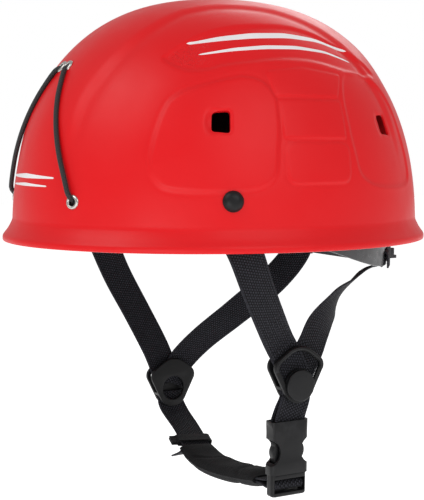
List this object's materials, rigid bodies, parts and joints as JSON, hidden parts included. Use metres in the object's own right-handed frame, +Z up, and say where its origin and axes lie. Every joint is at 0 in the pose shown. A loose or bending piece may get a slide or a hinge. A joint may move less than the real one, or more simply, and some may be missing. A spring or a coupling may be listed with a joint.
{
  "type": "climbing helmet",
  "caption": "Hard-shell climbing helmet with flared rim, webbing harness with strap dividers and side-release buckle, nape size adjuster and elastic headlamp cord.",
  "frame": {"origin": "centre of the head opening, on the plane of the shell's rim", "axes": "+Z up to the crown, -Y towards the front, +X towards the wearer's left"},
  "size_m": [0.236, 0.2882, 0.3168],
  "materials": {
    "shell_red": "satin moulded ABS",
    "nickel": "nickel-plated steel",
    "elastic_cord": "braided elastic",
    "black_plastic": "satin moulded nylon",
    "smoke_plastic": "satin, slightly translucent",
    "webbing": "woven polyester webbing",
    "pad_fabric": "knitted fabric on foam",
    "white_print": "pad-printed ink",
    "keeper_elastic": "matt elastic"
  },
  "bodies": {
    "root": {"shell": "shell_red", "cord_eyelet_low_left": "nickel", "cord_eyelet_low_right": "nickel", "cord_eyelet_top_left": "nickel", "cord_eyelet_top_right": "nickel", "rivet_washer_left": "nickel", "rivet_washer_right": "nickel", "lamp_cord": "elastic_cord", "cord_knot_left": "elastic_cord", "cord_knot_right": "elastic_cord", "side_rivet_left": "black_plastic", "side_rivet_right": "black_plastic", "side_bracket_left": "black_plastic", "side_bracket_right": "black_plastic", "cradle_anchor_front_left": "black_plastic", "cradle_anchor_front_right": "black_plastic", "cradle_anchor_rear_left": "black_plastic", "cradle_anchor_rear_right": "black_plastic", "divider_outer_left": "black_plastic", "divider_outer_right": "black_plastic", "divider_inner_left": "black_plastic", "divider_inner_right": "black_plastic", "divider_button_left": "black_plastic", "divider_button_right": "black_plastic", "buckle_socket": "black_plastic", "headband": "smoke_plastic", "nape_arm_left": "smoke_plastic", "nape_arm_right": "smoke_plastic", "front_strap_left": "webbing", "front_strap_right": "webbing", "rear_strap_left": "webbing", "rear_strap_right": "webbing", "socket_strap": "webbing", "chin_strap": "webbing", "strap_tail": "webbing", "crown_strap_a": "webbing", "crown_strap_b": "webbing", "forehead_pad": "pad_fabric", "crown_pad": "pad_fabric", "chin_pad": "pad_fabric", "comfort_liner": "pad_fabric", "tail_keeper": "keeper_elastic"},
    "adjuster": {"adjuster_plate": "smoke_plastic", "adjuster_cover": "smoke_plastic", "nape_pad": "pad_fabric"},
    "knob": {"adjuster_knob": "black_plastic", "knob_cap": "black_plastic", "pinion_shaft": "smoke_plastic"},
    "rack_left": {"rack_left": "smoke_plastic"},
    "rack_right": {"rack_right": "smoke_plastic"},
    "plug": {"buckle_plug": "black_plastic", "plug_loop": "webbing"},
    "prong_front": {"prong_front": "black_plastic"},
    "prong_rear": {"prong_rear": "black_plastic"}
  },
  "joints": [
    {"name": "size_slide", "type": "slide", "parent": "root", "child": "adjuster", "axis": [0, -1, 0], "range_m": [0, 0.03], "deforming": ["nape_arm_left", "nape_arm_right", "rear_strap_left", "rear_strap_right"]},
    {"name": "knob_turn", "type": "hinge", "parent": "adjuster", "child": "knob", "pos_m": [0, 0.12, -0.0045], "axis": [0, -1, 0], "range_deg": [0, 324.68]},
    {"name": "rack_left_slide", "type": "slide", "parent": "adjuster", "child": "rack_left", "axis": [-1, 0, 0], "range_m": [0, 0.034]},
    {"name": "rack_right_slide", "type": "slide", "parent": "adjuster", "child": "rack_right", "axis": [1, 0, 0], "range_m": [0, 0.034]},
    {"name": "plug_release", "type": "slide", "parent": "root", "child": "plug", "axis": [0, 0, -1], "range_m": [0, 0.03], "deforming": ["prong_front", "prong_rear"]},
    {"name": "prong_rear_press", "type": "hinge", "parent": "plug", "child": "prong_rear", "pos_m": [0.0835, 0.0081, -0.1365], "axis": [1, 0, 0], "range_deg": [0, 8], "stiffness_Nm_per_rad": 0.3},
    {"name": "prong_front_press", "type": "hinge", "parent": "plug", "child": "prong_front", "pos_m": [0.0835, -0.0071, -0.1365], "axis": [1, 0, 0], "range_deg": [-8, 0], "stiffness_Nm_per_rad": 0.3}
  ],
  "couplings": [
    {"joint": "knob_turn", "follows": "size_slide", "rad_per_m": 188.89},
    {"joint": "rack_left_slide", "follows": "size_slide", "ratio": 1.1333},
    {"joint": "rack_right_slide", "follows": "size_slide", "ratio": 1.1333},
    {"joint": "prong_front_press", "follows": "prong_rear_press", "ratio": -1}
  ]
}
